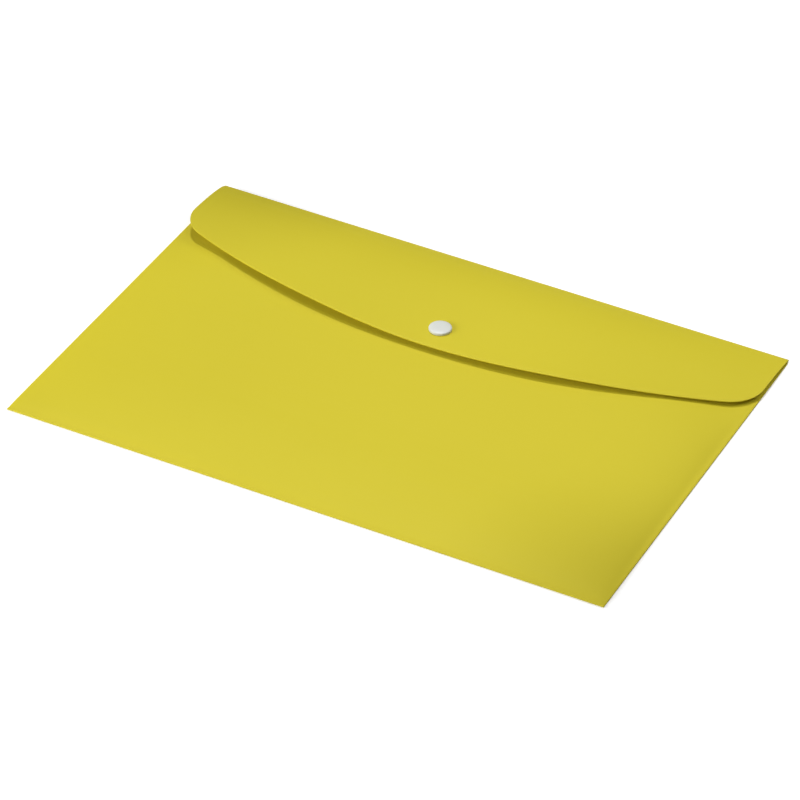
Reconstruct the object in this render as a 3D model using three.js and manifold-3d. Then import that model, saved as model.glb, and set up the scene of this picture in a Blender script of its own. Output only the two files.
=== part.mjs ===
// An A4 landscape document folder: one sheet of opaque polypropylene, folded at the front into a pocket,
// welded at both sides, with a flap that folds over the mouth and closes on a press stud.
// Millimetres, +Z up. The folder lies on its back panel, flap on top. X runs along the long side,
// Y from the front fold to the flap's crease. The origin is under the middle, on the table.
// The sheet is divided at its folds, crease and welds, so each of its panels is a mesh of its own.

import * as THREE from "three";
import { mergeVertices } from "three/addons/utils/BufferGeometryUtils.js";
import Module from "manifold-3d";

// Folder
const folderWidth = 335; // left side to right side
const folderDepth = 228; // front fold to flap crease, outermost lines
const sheetGauge = 0.45;
const pocketRoom = 4.1; // clear height inside the pocket
const leftSlope = 25; // run over which the front panel climbs from the left weld
const rightSlope = 40; // run of the first, steeper half of its climb from the right weld
const rightSwell = 90; // run of the gentler half
const frontSlope = 60; // run of its climb from the front fold
const weldWidth = 2.5;
const weldHeight = 0.45; // fused plastic between the two panels
const frontLand = 1.2; // flat strip of the front panel behind the front fold
const mouthSetback = 16; // flap crease to the front panel's free edge

// Flap
const creaseLeftHeight = 4.2; // over the folded crease, which is pressed flatter towards its right end
const creaseRightHeight = 1.8;
const creaseReach = 2.1; // how far it bulges back from the panels
const flapDepth = 87; // crease to free edge, on the centre line
const flapEdgeRadius = 369; // shallow arc of the free edge
const flapCornerRadius = 22;
const flapInset = 0.4; // flap end to folder side
const flapRightDrop = 4.5; // how far its right end hangs below the height at the stud
const flapLeftSpring = 1.6; // rise of the free edge midway between the stud and each end
const flapRightSpring = 1;
const hingeReach = 1.1; // from the panel's edge to the line that the flap turns about, in mean crease reaches

// Press stud, on the centre line
const studInset = 16.3; // flap's free edge to the stud's axis
const studStack = 2.8; // front panel to flap, with the stud closed
const capRadius = 6.1;
const capRim = 1; // thickness at the rim, under the cap's low dome
const capHeight = 1.6;
const postRadius = 1;
const rivetHeadRadius = 1.6; // end of the cap's post, spread under the socket
const rivetHeadHeight = 0.25;
const socketRadius = 4.9;
const socketWeb = 0.6; // floor of the socket, which the post passes through
const socketLip = 0.25; // height of the lip that grips the stud
const studFlangeRadius = 5.2;
const studFlange = 0.6;
const neckRadius = 1.7;
const neckHeight = 0.35;
const bulbRadius = 2.1;
const bulbHeight = 0.7;
const bulbChamfer = 0.3;
const rearCapRadius = 5.5;
const rearCapRim = 0.3;
const rearCapHeight = 0.65;

// Clearances
const seatGap = 0.05; // between a flat face and the sheet that it lies on
const runningGap = 0.3; // around posts, the stud's neck and its bulb

// Roundness
const latheSteps = 32;
const foldSteps = 10;
const edgeSteps = 48;
const cornerSteps = 6;
const domeSteps = 4;
const flapColumns = 24;
const flapRows = 9;
const slopeSteps = 7;

const halfWidth = folderWidth / 2;
const halfDepth = folderDepth / 2;

const sheetYellow = new THREE.MeshStandardMaterial({ color: 0xd6c936, roughness: 0.55, metalness: 0 });
const studWhite = new THREE.MeshStandardMaterial({ color: 0xe2e4de, roughness: 0.35, metalness: 0 });

const wasm = await Module();
wasm.setup();

// A closed geometry as a solid, with only its positions and with shared vertices merged
function solidOf(geometry) {
  const bare = geometry.clone();
  bare.deleteAttribute("normal");
  bare.deleteAttribute("uv");
  const merged = mergeVertices(bare, 1e-4);
  return new wasm.Manifold(
    new wasm.Mesh({
      numProp: 3,
      vertProperties: new Float32Array(merged.attributes.position.array),
      triVerts: new Uint32Array(merged.index.array),
    }),
  );
}

function geometryOf(solid) {
  const mesh = solid.getMesh();
  const geometry = new THREE.BufferGeometry();
  geometry.setAttribute("position", new THREE.BufferAttribute(mesh.vertProperties, 3));
  geometry.setIndex(new THREE.BufferAttribute(mesh.triVerts, 1));
  geometry.computeVertexNormals();
  return geometry;
}

const folder = new THREE.Group();

function add(name, geometry, material) {
  const mesh = new THREE.Mesh(geometry, material);
  mesh.name = name;
  folder.add(mesh);
}

// Evenly spaced values from one end to the other, both included
function stations(from, to, steps) {
  return Array.from({ length: steps + 1 }, (_, i) => from + ((to - from) * i) / steps);
}

// A sheet over a grid of stations, one gauge thick, with its upper face at topAt(x, y)
function bentSheet(xs, ys, topAt) {
  const columns = xs.length - 1;
  const rows = ys.length - 1;
  const slab = new THREE.BoxGeometry(columns, rows, 1, columns, rows, 1);
  const at = slab.attributes.position;
  for (let i = 0; i < at.count; i++) {
    const x = xs[Math.round(at.getX(i) + columns / 2)];
    const y = ys[Math.round(at.getY(i) + rows / 2)];
    const top = topAt(x, y);
    at.setXYZ(i, x, y, at.getZ(i) > 0 ? top : top - sheetGauge);
  }
  return solidOf(slab);
}

function block(x0, x1, y0, y1, z0, z1) {
  const box = new THREE.BoxGeometry(x1 - x0, y1 - y0, z1 - z0);
  return box.translate((x0 + x1) / 2, (y0 + y1) / 2, (z0 + z1) / 2);
}

// A fold of the sheet along X from -half to half, one gauge thick and open on one side: a half ellipse that
// bulges by reach from y, towards +Y or -Y as facing says, and is heightAt(x) high
function sheetFold(half, reach, heightAt, y, facing) {
  const fold = new THREE.BoxGeometry(2 * half, foldSteps, 1, 1, foldSteps, 1);
  const at = fold.attributes.position;
  for (let i = 0; i < at.count; i++) {
    const middle = heightAt(at.getX(i)) / 2;
    const inwards = at.getZ(i) > 0 ? 0 : sheetGauge;
    const angle = (-facing * Math.PI * at.getY(i)) / foldSteps;
    at.setY(i, y + facing * (reach - inwards) * Math.cos(angle));
    at.setZ(i, middle + (middle - inwards) * Math.sin(angle));
  }
  return geometryOf(solidOf(fold));
}

// A piece turned about the stud's axis, from [radius, height] corners in anticlockwise order
function turned(corners) {
  const profile = corners.map(([radius, height]) => new THREE.Vector2(radius, height));
  return new THREE.LatheGeometry(profile, latheSteps).rotateX(Math.PI / 2).translate(0, studY, 0);
}

// Corners of a low dome, from its rim to its crown on the axis
function dome(radius, rimHeight, crownHeight) {
  return stations(0, Math.PI / 2, domeSteps).map((angle) => [
    radius * Math.cos(angle),
    rimHeight + (crownHeight - rimHeight) * Math.sin(angle),
  ]);
}

function smoothStep(t) {
  const s = THREE.MathUtils.clamp(t, 0, 1);
  return s * s * (3 - 2 * s);
}

// Places along Y
const edgeY = halfDepth - flapDepth; // flap's free edge, on the centre line
const studY = edgeY + studInset;

// Heights of the pocket
const closedTop = 2 * sheetGauge + weldHeight; // front panel's upper face at its welds and fold
const pocketTop = 2 * sheetGauge + pocketRoom; // its upper face over the pocket
const foldRadius = closedTop / 2;
const panelFront = -halfDepth + foldRadius; // where both panels meet the front fold
const mouth = halfDepth - mouthSetback;
const weldInner = halfWidth - weldWidth;

// Back panel
const panelBack = halfDepth - creaseReach; // where the back panel meets the crease
add("back_panel", block(-halfWidth, halfWidth, panelFront, panelBack, 0, sheetGauge), sheetYellow);

// Front fold
add("bottom_fold", sheetFold(halfWidth, foldRadius, () => closedTop, panelFront, -1), sheetYellow);

// Side welds, from the front fold to the mouth
function sideWeld(x0, x1) {
  return block(x0, x1, panelFront, mouth, sheetGauge, sheetGauge + weldHeight);
}
add("left_side_weld", sideWeld(-halfWidth, -weldInner), sheetYellow);
add("right_side_weld", sideWeld(weldInner, halfWidth), sheetYellow);

// Front panel, level over the pocket and sloping down to the welds and the front fold
const slopeFront = panelFront + frontLand;

function frontPanelTop(x, y) {
  const inset = weldInner - Math.abs(x);
  const fromRight = (smoothStep(inset / rightSlope) + smoothStep(inset / rightSwell)) / 2;
  const fromSide = x < 0 ? smoothStep(inset / leftSlope) : fromRight;
  const fromFront = smoothStep((y - slopeFront) / frontSlope);
  return closedTop + (pocketTop - closedTop) * fromSide * fromFront;
}

const postHole = postRadius + runningGap;
const upright = new THREE.CylinderGeometry(postHole, postHole, folderDepth, latheSteps).rotateX(Math.PI / 2);
const postBore = solidOf(upright.translate(0, studY, 0));

const frontPanelXs = [
  -halfWidth,
  ...stations(-weldInner, leftSlope - weldInner, slopeSteps),
  ...stations(weldInner - rightSwell, weldInner - rightSlope, slopeSteps),
  ...stations(weldInner - rightSlope, weldInner, slopeSteps).slice(1),
  halfWidth,
];
const frontPanelYs = [panelFront, ...stations(slopeFront, slopeFront + frontSlope, slopeSteps), mouth];
const frontPanel = bentSheet(frontPanelXs, frontPanelYs, frontPanelTop).subtract(postBore);
add("front_panel", geometryOf(frontPanel), sheetYellow);

// Flap crease: a living hinge from the back panel to the flap's root
const flapHalf = halfWidth - flapInset;
const creaseFall = (creaseLeftHeight - creaseRightHeight) / (2 * flapHalf);

function creaseTopAt(x) {
  return (creaseLeftHeight + creaseRightHeight) / 2 - creaseFall * x;
}
add("flap_crease", sheetFold(flapHalf, creaseReach, creaseTopAt, panelBack, 1), sheetYellow);

// Flap, rising steeply from the crease to its height at the stud, with its right end hanging
const flapTop = pocketTop + studStack + sheetGauge; // upper face at the stud
const flapRun = panelBack - studY;

function flapTopAt(x, y) {
  const along = (panelBack - y) / flapRun;
  const across = x / flapHalf;
  const rise = flapTop - creaseTopAt(x) - flapRightDrop * Math.max(across, 0) ** 2.5;
  const spring = (x < 0 ? flapLeftSpring : flapRightSpring) * Math.sin(Math.PI * across) ** 2;
  return creaseTopAt(x) + rise * (1 - (1 - Math.min(along, 1)) ** 4) + spring * along;
}

// The flap's plan: straight root and ends, rounded corners, and the arc of the free edge
function flapPlan() {
  const arcY = edgeY + flapEdgeRadius; // centre of the free edge's arc
  const cornerX = flapHalf - flapCornerRadius;
  const inner = flapEdgeRadius - flapCornerRadius;
  const cornerY = arcY - Math.sqrt(inner ** 2 - cornerX ** 2);
  const tangent = Math.atan2(cornerY - arcY, cornerX); // direction in which the corner meets the arc
  const points = [new THREE.Vector2(flapHalf, panelBack), new THREE.Vector2(-flapHalf, panelBack)];
  const arc = (x, y, radius, from, to, steps) =>
    stations(from, to, steps).forEach((angle) =>
      points.push(new THREE.Vector2(x + radius * Math.cos(angle), y + radius * Math.sin(angle))),
    );
  arc(-cornerX, cornerY, flapCornerRadius, -Math.PI, -Math.PI - tangent, cornerSteps);
  arc(0, arcY, flapEdgeRadius, -Math.PI - tangent, tangent, edgeSteps);
  arc(cornerX, cornerY, flapCornerRadius, tangent, 0, cornerSteps);
  return new THREE.Shape(points);
}

const flapCutter = new THREE.ExtrudeGeometry(flapPlan(), { depth: 2 * flapTop, bevelEnabled: false });
const flapXs = stations(-flapHalf, flapHalf, flapColumns);
const flapYs = [edgeY - sheetGauge, ...stations(studY, panelBack, flapRows)];
const flapSheet = bentSheet(flapXs, flapYs, flapTopAt).intersect(solidOf(flapCutter)).subtract(postBore);
add("flap", geometryOf(flapSheet), sheetYellow);

// Cap: a domed disc over the flap, with a post through the flap and the socket's floor
const flapUnder = flapTop - sheetGauge;
const webUnder = flapUnder - seatGap - socketWeb;
const capUnder = flapTop + seatGap;
add(
  "snap_cap",
  turned(
    [
      [0, webUnder - seatGap - rivetHeadHeight],
      [rivetHeadRadius, webUnder - seatGap - rivetHeadHeight],
      [rivetHeadRadius, webUnder - seatGap],
      [postRadius, webUnder - seatGap],
      [postRadius, capUnder],
      [capRadius, capUnder],
      ...dome(capRadius, capUnder + capRim, capUnder + capHeight),
    ],
  ),
  studWhite,
);

// Stud: a flange on the front panel, with a necked bulb that the socket's lip snaps over
const flangeUnder = pocketTop + seatGap;
const flangeTop = flangeUnder + studFlange;
const bulbTop = flangeTop + neckHeight + bulbHeight;
const studPostTop = bulbTop - runningGap;
add(
  "snap_stud",
  turned(
    [
      [postHole, flangeUnder],
      [studFlangeRadius, flangeUnder],
      [studFlangeRadius, flangeTop],
      [neckRadius, flangeTop],
      [neckRadius, flangeTop + neckHeight],
      [bulbRadius, flangeTop + neckHeight + bulbChamfer],
      [bulbRadius, bulbTop - bulbChamfer],
      [bulbRadius - bulbChamfer, bulbTop],
      [postHole, bulbTop],
      [postHole, flangeUnder],
    ],
  ),
  studWhite,
);

// Socket: a ring under the flap, its lip narrower than the bulb
const socketUnder = flangeTop + seatGap;
const lipRadius = neckRadius + runningGap;
const socketBore = bulbRadius + runningGap;
add(
  "snap_socket",
  turned(
    [
      [lipRadius, socketUnder],
      [socketRadius, socketUnder],
      [socketRadius, flapUnder - seatGap],
      [postHole, flapUnder - seatGap],
      [postHole, webUnder],
      [socketBore, webUnder],
      [socketBore, socketUnder + socketLip + bulbChamfer],
      [lipRadius, socketUnder + socketLip],
      [lipRadius, socketUnder],
    ],
  ),
  studWhite,
);

// Rear cap: inside the pocket, with a post up through the front panel into the stud
const rearCapTop = pocketTop - sheetGauge - seatGap;
add(
  "stud_rear_cap",
  turned(
    [
      ...dome(rearCapRadius, rearCapTop - rearCapRim, rearCapTop - rearCapHeight).toReversed(),
      [rearCapRadius, rearCapTop],
      [postRadius, rearCapTop],
      [postRadius, studPostTop],
      [0, studPostTop],
    ],
  ),
  studWhite,
);

// The line that the flap turns about, opening towards +Y: behind the panel's edge, at the crease's mid height,
// where a crease of this length is never pulled tight. Its Z is given at x = 0, with how far it falls per mm of X
folder.userData.flapHinge = {
  y: panelBack + hingeReach * (creaseReach - sheetGauge / 2),
  z: creaseTopAt(0) / 2,
  fall: creaseFall / 2,
};

export default folder;
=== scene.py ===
import math

import bmesh
import bpy
from mathutils import Matrix, Vector


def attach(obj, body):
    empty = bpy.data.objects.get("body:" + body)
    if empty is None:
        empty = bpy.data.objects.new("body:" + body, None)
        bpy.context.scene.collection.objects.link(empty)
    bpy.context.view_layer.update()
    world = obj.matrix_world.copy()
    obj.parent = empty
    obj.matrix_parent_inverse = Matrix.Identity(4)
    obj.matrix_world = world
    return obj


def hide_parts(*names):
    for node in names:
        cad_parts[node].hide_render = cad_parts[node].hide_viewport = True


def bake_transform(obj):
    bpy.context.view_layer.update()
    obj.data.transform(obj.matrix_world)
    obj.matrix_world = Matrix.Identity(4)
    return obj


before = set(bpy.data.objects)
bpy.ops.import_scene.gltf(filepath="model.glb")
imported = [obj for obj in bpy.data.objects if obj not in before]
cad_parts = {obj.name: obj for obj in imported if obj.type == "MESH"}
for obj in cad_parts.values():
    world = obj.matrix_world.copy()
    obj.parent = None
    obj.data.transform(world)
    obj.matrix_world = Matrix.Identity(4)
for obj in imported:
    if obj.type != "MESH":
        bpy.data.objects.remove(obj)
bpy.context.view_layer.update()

mm = 0.001

# Sizes in mm that the sheet's pieces share
sheet = {
    "halfWidth": 167.5,
    "halfDepth": 114.0,
    "gauge": 0.45,
    "rimRound": 0.18,
    "weldWidth": 2.5,
    "mouth": 98.0,
    "creaseReach": 2.1,  # how far the flap's crease bulges back
    "pocketTop": 5.0,
    "closedTop": 1.35,  # upper face over the welds
    "foldTop": 1.0,  # upper face over the front fold, which is pressed tighter
    "foldRun": 8.0,  # from there back to closedTop
    "foldLand": 1.2,  # flat strip behind the fold, before the panel rises
    "pinch": 0.4,  # how far the weld presses the panel's edge down
    "pinchRun": 5.0,  # and how far in that reaches
    "leastRise": 0.17,  # what stays over one gauge where fold and weld press the layers into one
    # runs over which the front panel climbs, the first two where the flap holds it down
    "leftSlope": 34.0,
    "rightSlope": 40.0,
    "swell": 90.0,
    "frontSlope": 60.0,
    # how steeply it leaves each closed edge in front of the flap, where nothing holds it down
    "leftFullness": 3.0,
    "rightFullness": 6.0,
    "frontFullness": 2.5,
    "fullTo": 20.0,  # y where the two sides' fullness starts to fade
    "fullFade": 60.0,  # and how far on it is gone
}
sheet["foldRadius"] = sheet["foldTop"] / 2
sheet["front"] = sheet["foldRadius"] - sheet["halfDepth"]
sheet["back"] = sheet["halfDepth"] - sheet["creaseReach"]


# sRGB hex to the linear colour that the shaders want
def linear(hexCode):
    parts = [int(hexCode[i:i + 2], 16) / 255 for i in (1, 3, 5)]
    return [c / 12.92 if c <= 0.04045 else ((c + 0.055) / 1.055) ** 2.4 for c in parts] + [1.0]


def clamp(t):
    return max(0.0, min(1.0, t))


def ease(t):
    t = clamp(t)
    return t * t * (3 - 2 * t)


def spaced(a, b, steps):
    return [a + (b - a) * i / steps for i in range(steps + 1)]


# the scale of a pattern whose grain has this size in mm
def perMetre(size):
    return 1 / (size * mm)


# Meshes

# a quad grid through rows of points in mm, all rows equally long
def gridObject(name, rows):
    wide = len(rows[0])
    verts = [Vector(p) * mm for row in rows for p in row]
    faces = [
        (r * wide + c, r * wide + c + 1, (r + 1) * wide + c + 1, (r + 1) * wide + c)
        for r in range(len(rows) - 1)
        for c in range(wide - 1)
    ]
    mesh = bpy.data.meshes.new(name)
    mesh.from_pydata(verts, [], faces)
    obj = bpy.data.objects.new(name, mesh)
    bpy.context.collection.objects.link(obj)
    return obj


# applies the modifiers and shades smooth, with hard edges kept
def settle(obj, sharpAngle):
    bpy.context.view_layer.update()
    mesh = bpy.data.meshes.new_from_object(obj.evaluated_get(bpy.context.evaluated_depsgraph_get()))
    obj.modifiers.clear()
    obj.data = mesh
    for face in mesh.polygons:
        face.use_smooth = True
    mesh.set_sharp_from_angle(angle=math.radians(sharpAngle))


# gives a surface the sheet's gauge on its inner side, and eases its cut edges
def thicken(obj, gauge, rimRound):
    solid = obj.modifiers.new("gauge", "SOLIDIFY")
    solid.thickness = gauge * mm
    solid.offset = -1
    solid.use_even_offset = True
    rim = obj.modifiers.new("cut edge", "BEVEL")
    rim.width = rimRound * mm
    rim.segments = 2
    rim.limit_method = "ANGLE"
    rim.angle_limit = math.radians(50)
    settle(obj, sharpAngle=60)


# turns corners of radius and height about the stud's axis: a profile that starts and ends on the axis makes
# a solid, any other closes to a ring
def turnedObject(name, profile, steps, edgeRound):
    bm = bmesh.new()
    rings = []
    for radius, height in profile:
        if radius == 0:
            rings.append([bm.verts.new((0, stud["y"] * mm, height * mm))])
            continue
        angles = [2 * math.pi * k / steps for k in range(steps)]
        rings.append([
            bm.verts.new((radius * math.cos(a) * mm, (stud["y"] + radius * math.sin(a)) * mm, height * mm))
            for a in angles
        ])
    isRing = profile[0][0] != 0
    pairs = list(zip(rings, rings[1:])) + ([(rings[-1], rings[0])] if isRing else [])
    for low, high in pairs:
        for k in range(steps):
            j = (k + 1) % steps
            if len(low) == 1:
                bm.faces.new((low[0], high[k], high[j])[::-1])
            elif len(high) == 1:
                bm.faces.new((low[k], low[j], high[0]))
            else:
                bm.faces.new((low[k], low[j], high[j], high[k]))
    bmesh.ops.recalc_face_normals(bm, faces=bm.faces)
    mesh = bpy.data.meshes.new(name)
    bm.to_mesh(mesh)
    bm.free()
    obj = bpy.data.objects.new(name, mesh)
    bpy.context.collection.objects.link(obj)
    soft = obj.modifiers.new("moulded edge", "BEVEL")
    soft.width = edgeRound * mm
    soft.segments = 3
    soft.limit_method = "ANGLE"
    soft.angle_limit = math.radians(28)
    settle(obj, sharpAngle=35)
    return obj


# Materials

# one node, its settings, and links given as inputName=(node, outputName)
def addNode(tree, kind, settings=None, **links):
    node = tree.nodes.new(kind)
    for key, value in (settings or {}).items():
        if key in node.inputs:
            node.inputs[key].default_value = value
        else:
            setattr(node, key, value)
    for key, (source, output) in links.items():
        tree.links.new(source.outputs[output], node.inputs[key.replace("_", " ")])
    return node


def startMaterial(name):
    material = bpy.data.materials.new(name)
    material.use_nodes = True
    tree = material.node_tree
    tree.nodes.clear()
    return material, tree


# Polypropylene sheet, extruded in colour and rolled with a fine matt emboss: the roll's grain breaks up any
# highlight, so the eye gets an even satin yellow with only a slow drift of tone from the extrusion
def polypropyleneSheet():
    look = {
        "colour": "#D1C22B",
        "paler": "#D4C62E",
        "ior": 1.49,
        "specular": 0.15,
        "roughness": 0.56,
        "roughnessSwing": 0.04,
        "blotch": 111.0,  # mm, as the other sizes here
        "embossGrain": 0.77,  # really about 0.4, drawn coarser so that it isn't lost between pixels
        "embossDepth": 0.022,
        "embossStrength": 0.35,
        "drawLine": 4.17,  # faint lines that run the way the sheet was drawn
        "drawStretch": 0.02,
    }
    material, tree = startMaterial("embossed polypropylene")
    place = addNode(tree, "ShaderNodeTexCoord")
    drift = addNode(tree, "ShaderNodeTexNoise", {"Scale": perMetre(look["blotch"]), "Detail": 2.0},
                    Vector=(place, "Object"))
    stretch = addNode(tree, "ShaderNodeMapping", {"Scale": (look["drawStretch"], 1.0, 1.0)},
                      Vector=(place, "Object"))
    draw = addNode(tree, "ShaderNodeTexNoise", {"Scale": perMetre(look["drawLine"]), "Detail": 1.0},
                   Vector=(stretch, "Vector"))
    emboss = addNode(tree, "ShaderNodeTexNoise", {"Scale": perMetre(look["embossGrain"]), "Detail": 2.0},
                     Vector=(place, "Object"))
    tone = addNode(tree, "ShaderNodeMix", {"data_type": "RGBA"})
    # numbers of the sockets that share their names with others
    colourMix = {"factor": 0, "first": 6, "second": 7, "result": 2}
    tone.inputs[colourMix["first"]].default_value = linear(look["colour"])
    tone.inputs[colourMix["second"]].default_value = linear(look["paler"])
    tree.links.new(drift.outputs["Fac"], tone.inputs[colourMix["factor"]])
    satin = addNode(tree, "ShaderNodeMapRange",
                    {"To Min": look["roughness"] - look["roughnessSwing"],
                     "To Max": look["roughness"] + look["roughnessSwing"]},
                    Value=(draw, "Fac"))
    grain = addNode(tree, "ShaderNodeBump",
                    {"Strength": look["embossStrength"], "Distance": look["embossDepth"] * mm},
                    Height=(emboss, "Fac"))
    shader = addNode(tree, "ShaderNodeBsdfPrincipled",
                     {"IOR": look["ior"], "Specular IOR Level": look["specular"]},
                     Normal=(grain, "Normal"), Roughness=(satin, "Result"))
    tree.links.new(tone.outputs[colourMix["result"]], shader.inputs["Base Color"])
    addNode(tree, "ShaderNodeOutputMaterial", Surface=(shader, "BSDF"))
    return material


# White polypropylene, injection moulded: a smoother skin than the sheet's, with a soft highlight on its
# rounded rim and the faintest unevenness from the mould
def mouldedStudPlastic():
    look = {
        "colour": "#D7DAD4",
        "ior": 1.49,
        "roughness": 0.36,
        "roughnessSwing": 0.05,
        "skinGrain": 1.43,  # mm, as its depth
        "skinDepth": 0.006,
        "skinStrength": 0.3,
    }
    material, tree = startMaterial("moulded white polypropylene")
    place = addNode(tree, "ShaderNodeTexCoord")
    skin = addNode(tree, "ShaderNodeTexNoise", {"Scale": perMetre(look["skinGrain"]), "Detail": 2.0},
                   Vector=(place, "Object"))
    finish = addNode(tree, "ShaderNodeMapRange",
                     {"To Min": look["roughness"] - look["roughnessSwing"],
                      "To Max": look["roughness"] + look["roughnessSwing"]},
                     Value=(skin, "Fac"))
    uneven = addNode(tree, "ShaderNodeBump",
                     {"Strength": look["skinStrength"], "Distance": look["skinDepth"] * mm},
                     Height=(skin, "Fac"))
    shader = addNode(tree, "ShaderNodeBsdfPrincipled",
                     {"IOR": look["ior"], "Base Color": linear(look["colour"])},
                     Normal=(uneven, "Normal"), Roughness=(finish, "Result"))
    addNode(tree, "ShaderNodeOutputMaterial", Surface=(shader, "BSDF"))
    return material


sheetPlastic = polypropyleneSheet()
studPlastic = mouldedStudPlastic()
print("materials done")


# gives a finished piece its material and its place on the frame
def hand(obj, material, slot, body, *nodes):
    obj.data.materials.clear()
    obj.data.materials.append(material)
    if body:
        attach(obj, body)
    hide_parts(*nodes)


# Pocket: one sheet from the mouth forward, round the front fold and back underneath
def panelTop(x, y):
    inset = sheet["halfWidth"] - sheet["weldWidth"] - abs(x)
    if x < 0:
        fullness = sheet["leftFullness"]
        held = ease(inset / sheet["leftSlope"])
    else:
        fullness = sheet["rightFullness"]
        held = (ease(inset / sheet["rightSlope"]) + ease(inset / sheet["swell"])) / 2
    full = 1 - (1 - clamp(inset / sheet["swell"])) ** fullness
    fromSide = full + (held - full) * ease((y - sheet["fullTo"]) / sheet["fullFade"])
    climb = clamp((y - sheet["front"] - sheet["foldLand"]) / sheet["frontSlope"])
    fromFront = 1 - (1 - climb) ** sheet["frontFullness"]
    fromFold = ease((y - sheet["front"]) / sheet["foldRun"])
    closed = sheet["foldTop"] + (sheet["closedTop"] - sheet["foldTop"]) * fromFold
    toEdge = clamp((abs(x) - sheet["halfWidth"] + sheet["pinchRun"]) / sheet["pinchRun"])
    pressed = sheet["pinch"] * toEdge ** 2
    top = closed + (sheet["pocketTop"] - closed) * fromSide * fromFront - pressed
    return max(top, sheet["gauge"] + sheet["leastRise"])


def buildPocket():
    steps = {
        "weld": 8,
        "left": 24,
        "middle": 50,
        "right": 44,
        "back": 30,
        "front": 30,
        "fold": 16,
        "under": 30,
    }
    inner = sheet["halfWidth"] - sheet["weldWidth"]
    left = -inner + sheet["leftSlope"]
    right = inner - sheet["swell"]
    xs = spaced(-sheet["halfWidth"], -inner, steps["weld"])
    xs += spaced(-inner, left, steps["left"])[1:]
    xs += spaced(left, right, steps["middle"])[1:]
    xs += spaced(right, inner, steps["right"])[1:]
    xs += spaced(inner, sheet["halfWidth"], steps["weld"])[1:]
    land = sheet["front"] + sheet["foldLand"]
    ys = spaced(sheet["mouth"], land + sheet["frontSlope"], steps["back"])
    ys += spaced(land + sheet["frontSlope"], land, steps["front"])[1:]
    rows = [[(x, y, panelTop(x, y)) for x in xs] for y in ys]
    for turn in spaced(math.pi / 2, 3 * math.pi / 2, steps["fold"]):
        y = sheet["front"] + sheet["foldRadius"] * math.cos(turn)
        z = sheet["foldRadius"] * (1 + math.sin(turn))
        rows.append([(x, y, z) for x in xs])
    rows += [[(x, y, 0) for x in xs] for y in spaced(sheet["front"], sheet["back"], steps["under"])[1:]]
    pocket = gridObject("pocket_sheet", rows)
    pocket.data.flip_normals()
    thicken(pocket, sheet["gauge"], sheet["rimRound"])
    hand(pocket, sheetPlastic, "sheet", "pocket", "front_panel", "bottom_fold", "back_panel")
    print("pocket sheet", len(pocket.data.polygons), "faces")


def buildWeld(side):
    weld = {
        "bead": 0.25,  # the seam ends this far in from the sheet's cut edge
        "melt": 0.02,  # and reaches this far into the panel over it
        "along": 24,
        "across": 4,
        "join": 0.001,
    }
    outer = sheet["halfWidth"] - weld["bead"]
    inner = sheet["halfWidth"] - sheet["weldWidth"]
    low = sheet["gauge"]
    rows = []
    for y in spaced(sheet["front"], sheet["mouth"], weld["along"]):
        # the fused plastic fills the gap, which narrows to the pressed edge
        under = [
            (x, max(panelTop(x, y) - sheet["gauge"], low) + weld["melt"])
            for x in spaced(outer, inner, weld["across"])
        ]
        rows.append([(side * x, y, z) for x, z in [(inner, low), (outer, low), *under, (inner, low)]])
    name = "left_side_weld" if side < 0 else "right_side_weld"
    strip = gridObject(name + "_seam", rows)
    bm = bmesh.new()
    bm.from_mesh(strip.data)
    bmesh.ops.remove_doubles(bm, verts=bm.verts, dist=weld["join"] * mm)
    bmesh.ops.holes_fill(bm, edges=[e for e in bm.edges if e.is_boundary])
    bmesh.ops.recalc_face_normals(bm, faces=bm.faces)
    bm.to_mesh(strip.data)
    bm.free()
    settle(strip, sharpAngle=50)
    hand(strip, sheetPlastic, "sheet", "pocket", name)
    print(name, "done")


# Flap: one sheet from the back panel's edge round the crease to the free edge
flap = {
    "halfWidth": 167.1,
    "edge": 27.0,  # y of the free edge on the centre line
    "edgeRadius": 369.0,
    "cornerRadius": 22.0,
    "creaseLeft": 4.2,  # height over the crease, pressed flatter towards its right end
    "creaseRight": 1.8,
    "studTop": 8.25,
    "bow": 4,  # how quickly the flap rises from the crease
    "rightDrop": 4.5,
    "rightDropPower": 2.5,
    "leftSpring": 1.6,  # how far the flap springs up halfway between the stud and each side
    "rightSpring": 1.0,
}


def creaseTop(x):
    toRight = (x / flap["halfWidth"] + 1) / 2
    return flap["creaseLeft"] + (flap["creaseRight"] - flap["creaseLeft"]) * toRight


def flapTop(x, y):
    along = (sheet["back"] - y) / (sheet["back"] - stud["y"])
    across = x / flap["halfWidth"]
    drop = flap["rightDrop"] * max(across, 0) ** flap["rightDropPower"]
    rise = flap["studTop"] - creaseTop(x) - drop
    spring = (flap["leftSpring"] if x < 0 else flap["rightSpring"]) * math.sin(math.pi * across) ** 2
    return creaseTop(x) + rise * (1 - (1 - min(along, 1)) ** flap["bow"]) + spring * along


# x of each column of the flap's grid, with the y of the free edge there
def flapOutline():
    steps = {"corner": 18, "arc": 36}
    arcY = flap["edge"] + flap["edgeRadius"]
    cornerX = flap["halfWidth"] - flap["cornerRadius"]
    cornerY = arcY - math.sqrt((flap["edgeRadius"] - flap["cornerRadius"]) ** 2 - cornerX ** 2)
    tangent = math.atan2(cornerY - arcY, cornerX)
    corner = [
        (cornerX + flap["cornerRadius"] * math.cos(a), cornerY + flap["cornerRadius"] * math.sin(a))
        for a in spaced(0, tangent, steps["corner"])
    ]
    right = corner + [
        (flap["edgeRadius"] * math.cos(a), arcY + flap["edgeRadius"] * math.sin(a))
        for a in spaced(tangent, -math.pi / 2, steps["arc"])[1:]
    ]
    return [(-x, y) for x, y in right] + right[-2::-1]


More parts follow.
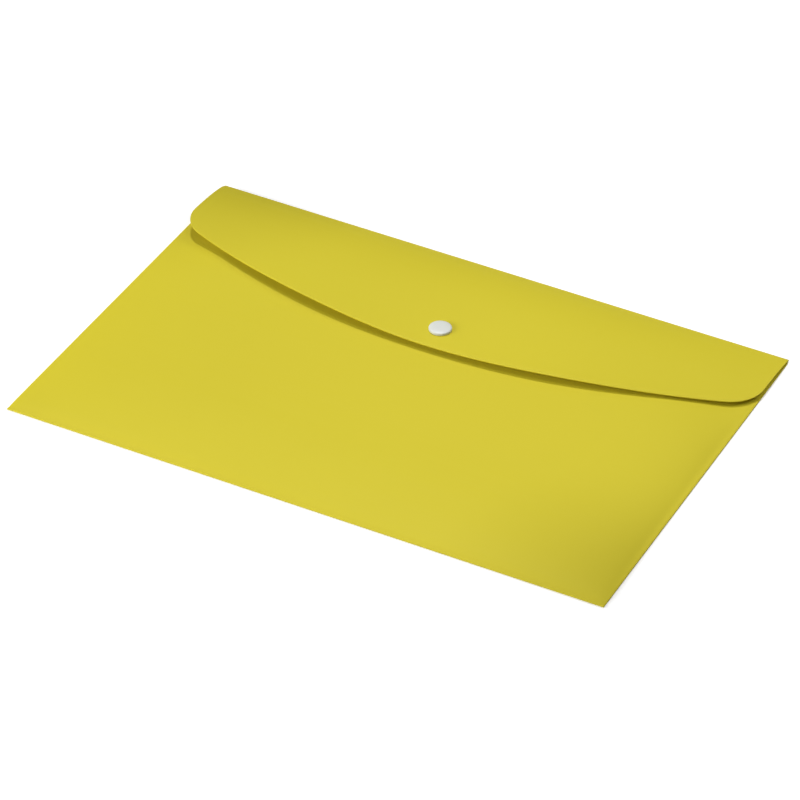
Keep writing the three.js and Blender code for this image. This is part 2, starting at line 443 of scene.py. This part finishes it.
# the blank is cut in a little at the crease's left end, where the fold stands high and would stick out; the
# cut fades with the crease's height, and there is none at the right end
def drawnIn(x, y, z):
    relief = {"depth": 1.6, "reach": 5.0, "width": 6.0}
    fromFold = math.hypot(y - sheet["halfDepth"], z - creaseTop(x) / 2) / relief["reach"]
    toEnd = (abs(x) - flap["halfWidth"] + relief["width"]) / relief["width"]
    standing = (creaseTop(x) - flap["creaseRight"]) / (flap["creaseLeft"] - flap["creaseRight"])
    depth = relief["depth"] * (1 - ease(fromFold)) * ease(toEnd) * standing
    return x - math.copysign(depth, x)


def buildFlap():
    steps = {"crease": 24, "panel": 60, "crowding": 1.5}  # rows crowd towards the crease
    # the flap's sheet runs on into the back panel, so that no seam opens
    lap = {"length": 0.5, "lift": 0.012}
    columns = flapOutline()
    lapEdge = sheet["back"] - lap["length"]
    rows = [[(drawnIn(x, sheet["back"], 0), lapEdge, lap["lift"]) for x, _ in columns]]
    for turn in spaced(-math.pi / 2, math.pi / 2, steps["crease"]):
        y = sheet["back"] + sheet["creaseReach"] * math.cos(turn)
        row = []
        for x, _ in columns:
            z = creaseTop(x) / 2 * (1 + math.sin(turn))
            row.append((drawnIn(x, y, z), y, z))
        rows.append(row)
    for part in spaced(0, 1, steps["panel"])[1:]:
        row = []
        for x, edge in columns:
            y = sheet["back"] + (edge - sheet["back"]) * part ** steps["crowding"]
            z = flapTop(x, y)
            row.append((drawnIn(x, y, z), y, z))
        rows.append(row)
    panel = gridObject("flap_sheet", rows)
    panel.data.flip_normals()
    thicken(panel, sheet["gauge"], sheet["rimRound"])
    hand(panel, sheetPlastic, "sheet", None, "flap", "flap_crease")
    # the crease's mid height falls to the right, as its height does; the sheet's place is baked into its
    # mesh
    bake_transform(panel)
    print("flap sheet", len(panel.data.polygons), "faces")


# Press stud, closed: cap and socket hold the flap between them, stud and rear cap the front panel
stud = {
    "y": 43.3,
    "hole": 1.3,  # through the socket and the stud, for the two posts
    "flapUnder": flap["studTop"] - sheet["gauge"],
    "floorDrop": 0.65,  # how far under the flap the socket's floor ends
    "panelTop": sheet["pocketTop"],
    "height": 1.7,  # how far the stud stands over the panel
    "steps": 96,
}
stud["floor"] = stud["flapUnder"] - stud["floorDrop"]
stud["top"] = stud["panelTop"] + stud["height"]


def buildCap():
    cap = {
        "radius": 6.1,
        "overFlap": 0.03,
        "post": 1.0,
        "head": 1.6,  # the post's end, spread under the socket's floor
        "headTop": 0.05,
        "headFoot": 0.3,
        "chamferIn": 0.12,
        "chamferUp": 0.14,
        "rim": 1.0,
        "shoulder": ((0.1, 0.22), (0.35, 0.4), (0.8, 0.5)),  # in from the side, and up from the rim
        "crown": 1.57,
        "dome": ((0.6, 0.02), (0.3, 0.0)),  # share of the radius, and how far below the crown
        "edge": 0.06,
    }
    seat = flap["studTop"] + cap["overFlap"]
    rimTop = seat + cap["rim"]
    crownTop = seat + cap["crown"]
    capObject = turnedObject("cap", [
        (0, stud["floor"] - cap["headFoot"]),
        (cap["head"], stud["floor"] - cap["headFoot"]),
        (cap["head"], stud["floor"] - cap["headTop"]),
        (cap["post"], stud["floor"] - cap["headTop"]),
        (cap["post"], seat),
        (cap["radius"] - cap["chamferIn"], seat),
        (cap["radius"], seat + cap["chamferUp"]),
        (cap["radius"], rimTop),
        *[(cap["radius"] - inwards, rimTop + up) for inwards, up in cap["shoulder"]],
        *[(cap["radius"] * share, crownTop - below) for share, below in cap["dome"]],
        (0, crownTop),
    ], stud["steps"], cap["edge"])
    hand(capObject, studPlastic, "press_stud", "flap", "snap_cap")
    print("cap done")


def buildSocket():
    socket = {
        "radius": 4.9,
        "overPanel": 0.7,
        "underFlap": 0.03,
        "lip": 2.0,  # narrower than the stud's bulb, which it snaps over
        "lipHeight": 0.25,
        "flare": 0.3,
        "bore": 2.4,
        "land": 0.5,
        "grooveSide": 0.2,
        "groove": 0.18,
        "edge": 0.07,
    }
    low = stud["panelTop"] + socket["overPanel"]
    high = stud["flapUnder"] - socket["underFlap"]
    socketObject = turnedObject("socket", [
        (socket["lip"], low),
        (socket["lip"] + socket["land"], low),
        (socket["lip"] + socket["land"] + socket["grooveSide"], low + socket["groove"]),
        (socket["radius"] - socket["land"] - socket["grooveSide"], low + socket["groove"]),
        (socket["radius"] - socket["land"], low),
        (socket["radius"], low),
        (socket["radius"], high),
        (stud["hole"], high),
        (stud["hole"], stud["floor"]),
        (socket["bore"], stud["floor"]),
        (socket["bore"], low + socket["lipHeight"] + socket["flare"]),
        (socket["lip"], low + socket["lipHeight"]),
    ], stud["steps"], socket["edge"])
    hand(socketObject, studPlastic, "press_stud", "flap", "snap_socket")
    print("socket done")


def buildPanelStud():
    knob = {
        "flange": 5.2,
        "overPanel": 0.02,
        "flangeTop": 0.65,
        "flangeDrop": 0.1,
        "flangeSlope": 0.4,
        "neck": 1.7,
        "neckHeight": 0.35,
        "bulb": 2.1,
        "bulbUnder": 0.3,
        "bulbRound": 0.3,
        "edge": 0.045,
    }
    foot = stud["panelTop"] + knob["overPanel"]
    flangeTop = stud["panelTop"] + knob["flangeTop"]
    bulbFoot = flangeTop + knob["neckHeight"]
    studObject = turnedObject("stud", [
        (stud["hole"], foot),
        (knob["flange"], foot),
        (knob["flange"], flangeTop - knob["flangeDrop"]),
        (knob["flange"] - knob["flangeSlope"], flangeTop),
        (knob["neck"], flangeTop),
        (knob["neck"], bulbFoot),
        (knob["bulb"], bulbFoot + knob["bulbUnder"]),
        (knob["bulb"], stud["top"] - knob["bulbRound"]),
        (knob["bulb"] - knob["bulbRound"], stud["top"]),
        (stud["hole"], stud["top"]),
    ], stud["steps"], knob["edge"])
    hand(studObject, studPlastic, "press_stud", "pocket", "snap_stud")
    print("stud done")


def buildRearCap():
    rear = {
        "radius": 5.5,
        "underPanel": 0.03,
        "rim": 0.2,
        "height": 0.65,
        "dish": ((0.5, 0.05), (0.82, 0.16)),  # share of the radius, and how far it has risen there
        "post": 1.0,
        "postBelow": 0.3,  # how far below the stud's top the post ends
        "edge": 0.06,
    }
    seat = stud["panelTop"] - sheet["gauge"] - rear["underPanel"]
    foot = seat - rear["height"]
    postEnd = stud["top"] - rear["postBelow"]
    rearObject = turnedObject("rear_cap", [
        (0, foot),
        *[(rear["radius"] * share, foot + up) for share, up in rear["dish"]],
        (rear["radius"], seat - rear["rim"]),
        (rear["radius"], seat),
        (rear["post"], seat),
        (rear["post"], postEnd),
        (0, postEnd),
    ], stud["steps"], rear["edge"])
    hand(rearObject, studPlastic, "press_stud", "pocket", "stud_rear_cap")
    print("rear cap done")


buildPocket()
buildWeld(-1)
buildWeld(1)
buildFlap()
buildCap()
buildSocket()
buildPanelStud()
buildRearCap()


# Studio: a white table in a white surround
def buildStage():
    studio = {
        "reach": 3000,  # mm, as the next one
        "below": 0.05,
        "floor": "#F4F4F4",
        "lift": 0.34,
        "liftFrom": 0.2,  # metres from the middle of the folder
        "liftTo": 0.5,
        "surround": 0.13,
    }
    far = studio["reach"]
    low = -studio["below"]
    nearRow = [(-far, -far, low), (far, -far, low)]
    farRow = [(-far, far, low), (far, far, low)]
    table = gridObject("table_top", [nearRow, farRow])
    material, tree = startMaterial("white table")
    path = addNode(tree, "ShaderNodeLightPath")
    body = addNode(tree, "ShaderNodeBsdfDiffuse", {"Color": linear(studio["floor"])})
    # extra white for the camera only: little near the folder, so that its shadow stays, more further out
    place = addNode(tree, "ShaderNodeNewGeometry")
    away = addNode(tree, "ShaderNodeVectorMath", {"operation": "LENGTH"}, Vector=(place, "Position"))
    rise = addNode(tree, "ShaderNodeMapRange",
                   {"From Min": studio["liftFrom"], "From Max": studio["liftTo"], "To Min": studio["lift"]},
                   Value=(away, "Value"))
    lift = addNode(tree, "ShaderNodeMath", {"operation": "MULTIPLY"})
    tree.links.new(path.outputs["Is Camera Ray"], lift.inputs[0])
    tree.links.new(rise.outputs["Result"], lift.inputs[1])
    glow = addNode(tree, "ShaderNodeEmission", Strength=(lift, "Value"))
    both = addNode(tree, "ShaderNodeAddShader")
    tree.links.new(body.outputs[0], both.inputs[0])
    tree.links.new(glow.outputs[0], both.inputs[1])
    addNode(tree, "ShaderNodeOutputMaterial", Surface=(both, "Shader"))
    table.data.materials.append(material)

    world = bpy.data.worlds.new("studio")
    bpy.context.scene.world = world
    world.use_nodes = True
    tree = world.node_tree
    tree.nodes.clear()
    path = addNode(tree, "ShaderNodeLightPath")
    light = addNode(tree, "ShaderNodeBackground", {"Color": (1, 1, 1, 1), "Strength": studio["surround"]})
    seen = addNode(tree, "ShaderNodeBackground", {"Color": (1, 1, 1, 1), "Strength": 1.0})
    choose = addNode(tree, "ShaderNodeMixShader")
    tree.links.new(path.outputs["Is Camera Ray"], choose.inputs[0])
    tree.links.new(light.outputs[0], choose.inputs[1])
    tree.links.new(seen.outputs[0], choose.inputs[2])
    addNode(tree, "ShaderNodeOutputWorld", Surface=(choose, "Shader"))


def aimed(name, data, place, target):
    obj = bpy.data.objects.new(name, data)
    bpy.context.collection.objects.link(obj)
    obj.location = place
    obj.rotation_euler = (Vector(target) - Vector(place)).to_track_quat("-Z", "Y").to_euler()
    return obj


def softBox(name, width, height, energy, place, target):
    data = bpy.data.lights.new(name, "AREA")
    data.shape = "RECTANGLE"
    data.size = width
    data.size_y = height
    data.energy = energy
    lamp = aimed(name.replace(" ", "_"), data, place, target)
    lamp.visible_camera = False


# a small round card hung in front of the key, which takes part of its light off the spot that it hangs over
def hungFlag(name, radius, spot, towardsKey, distance):
    bm = bmesh.new()
    bmesh.ops.create_circle(bm, cap_ends=True, segments=32, radius=radius)
    mesh = bpy.data.meshes.new(name)
    bm.to_mesh(mesh)
    bm.free()
    card = aimed(name, mesh, Vector(spot) + towardsKey * distance, spot)
    card.visible_camera = False
    card.visible_diffuse = False
    card.visible_glossy = False


# a hard key from behind on the left, which draws the flap's shadow, a broad box at the front left that
# fills it, a weak one at the back right, and a small one overhead that leaves the far corners darker. Places
# and sizes are in metres
def buildLights():
    sun = {"from": (-0.3, 0.52, 1.0), "energy": 1.36, "softness": 3.0, "cardsUp": 2.2}
    keyFrom = Vector(sun["from"])
    key = bpy.data.lights.new("key", "SUN")
    key.energy = sun["energy"]
    key.angle = math.radians(sun["softness"])
    aimed("key", key, keyFrom, (0, 0, 0))
    # the photograph's front right corner is its darkest, and the flap's back left end is next
    towardsKey = keyFrom.normalized()
    hungFlag("corner_flag", radius=0.041, spot=(0.172, -0.122, 0),
             towardsKey=towardsKey, distance=sun["cardsUp"])
    hungFlag("flap_flag", radius=0.032, spot=(-0.165, 0.125, 0),
             towardsKey=towardsKey, distance=sun["cardsUp"])
    softBox("front left box", width=0.9, height=0.7, energy=21.8,
            place=(-1.05, -1.1, 0.56), target=(0, 0, 0))
    softBox("back right box", width=0.4, height=0.4, energy=2.4,
            place=(0.6, 0.5, 0.75), target=(0.1, 0.08, 0))
    softBox("overhead box", width=0.12, height=0.12, energy=0.17,
            place=(0.03, 0.03, 0.35), target=(0.03, 0.031, 0))


def buildCamera():
    # measured from the photograph's straight edges and their vanishing, in mm and degrees
    shot = {
        "aim": (4.75, -11.5, 0),
        "distance": 2209.0,
        "azimuth": 26.57,
        "elevation": 36.68,
        "roll": 1.065,
        "lens": 194.3,
        "sensor": 36,
        "clip": 20,
    }
    data = bpy.data.cameras.new("photo view")
    data.lens = shot["lens"]
    data.sensor_width = shot["sensor"]
    data.clip_end = shot["clip"]
    azimuth = math.radians(shot["azimuth"])
    elevation = math.radians(shot["elevation"])
    back = Vector((
        math.sin(azimuth) * math.cos(elevation),
        -math.cos(azimuth) * math.cos(elevation),
        math.sin(elevation),
    ))
    aim = Vector(shot["aim"]) * mm
    camera = aimed("photo_view", data, aim + back * shot["distance"] * mm, aim)
    turn = camera.rotation_euler.to_matrix() @ Matrix.Rotation(math.radians(shot["roll"]), 3, "Z")
    camera.rotation_euler = turn.to_euler()
    bpy.context.scene.camera = camera


buildStage()
buildLights()
buildCamera()
bpy.context.scene.view_settings.view_transform = "Standard"
print("stage, lights and camera done")
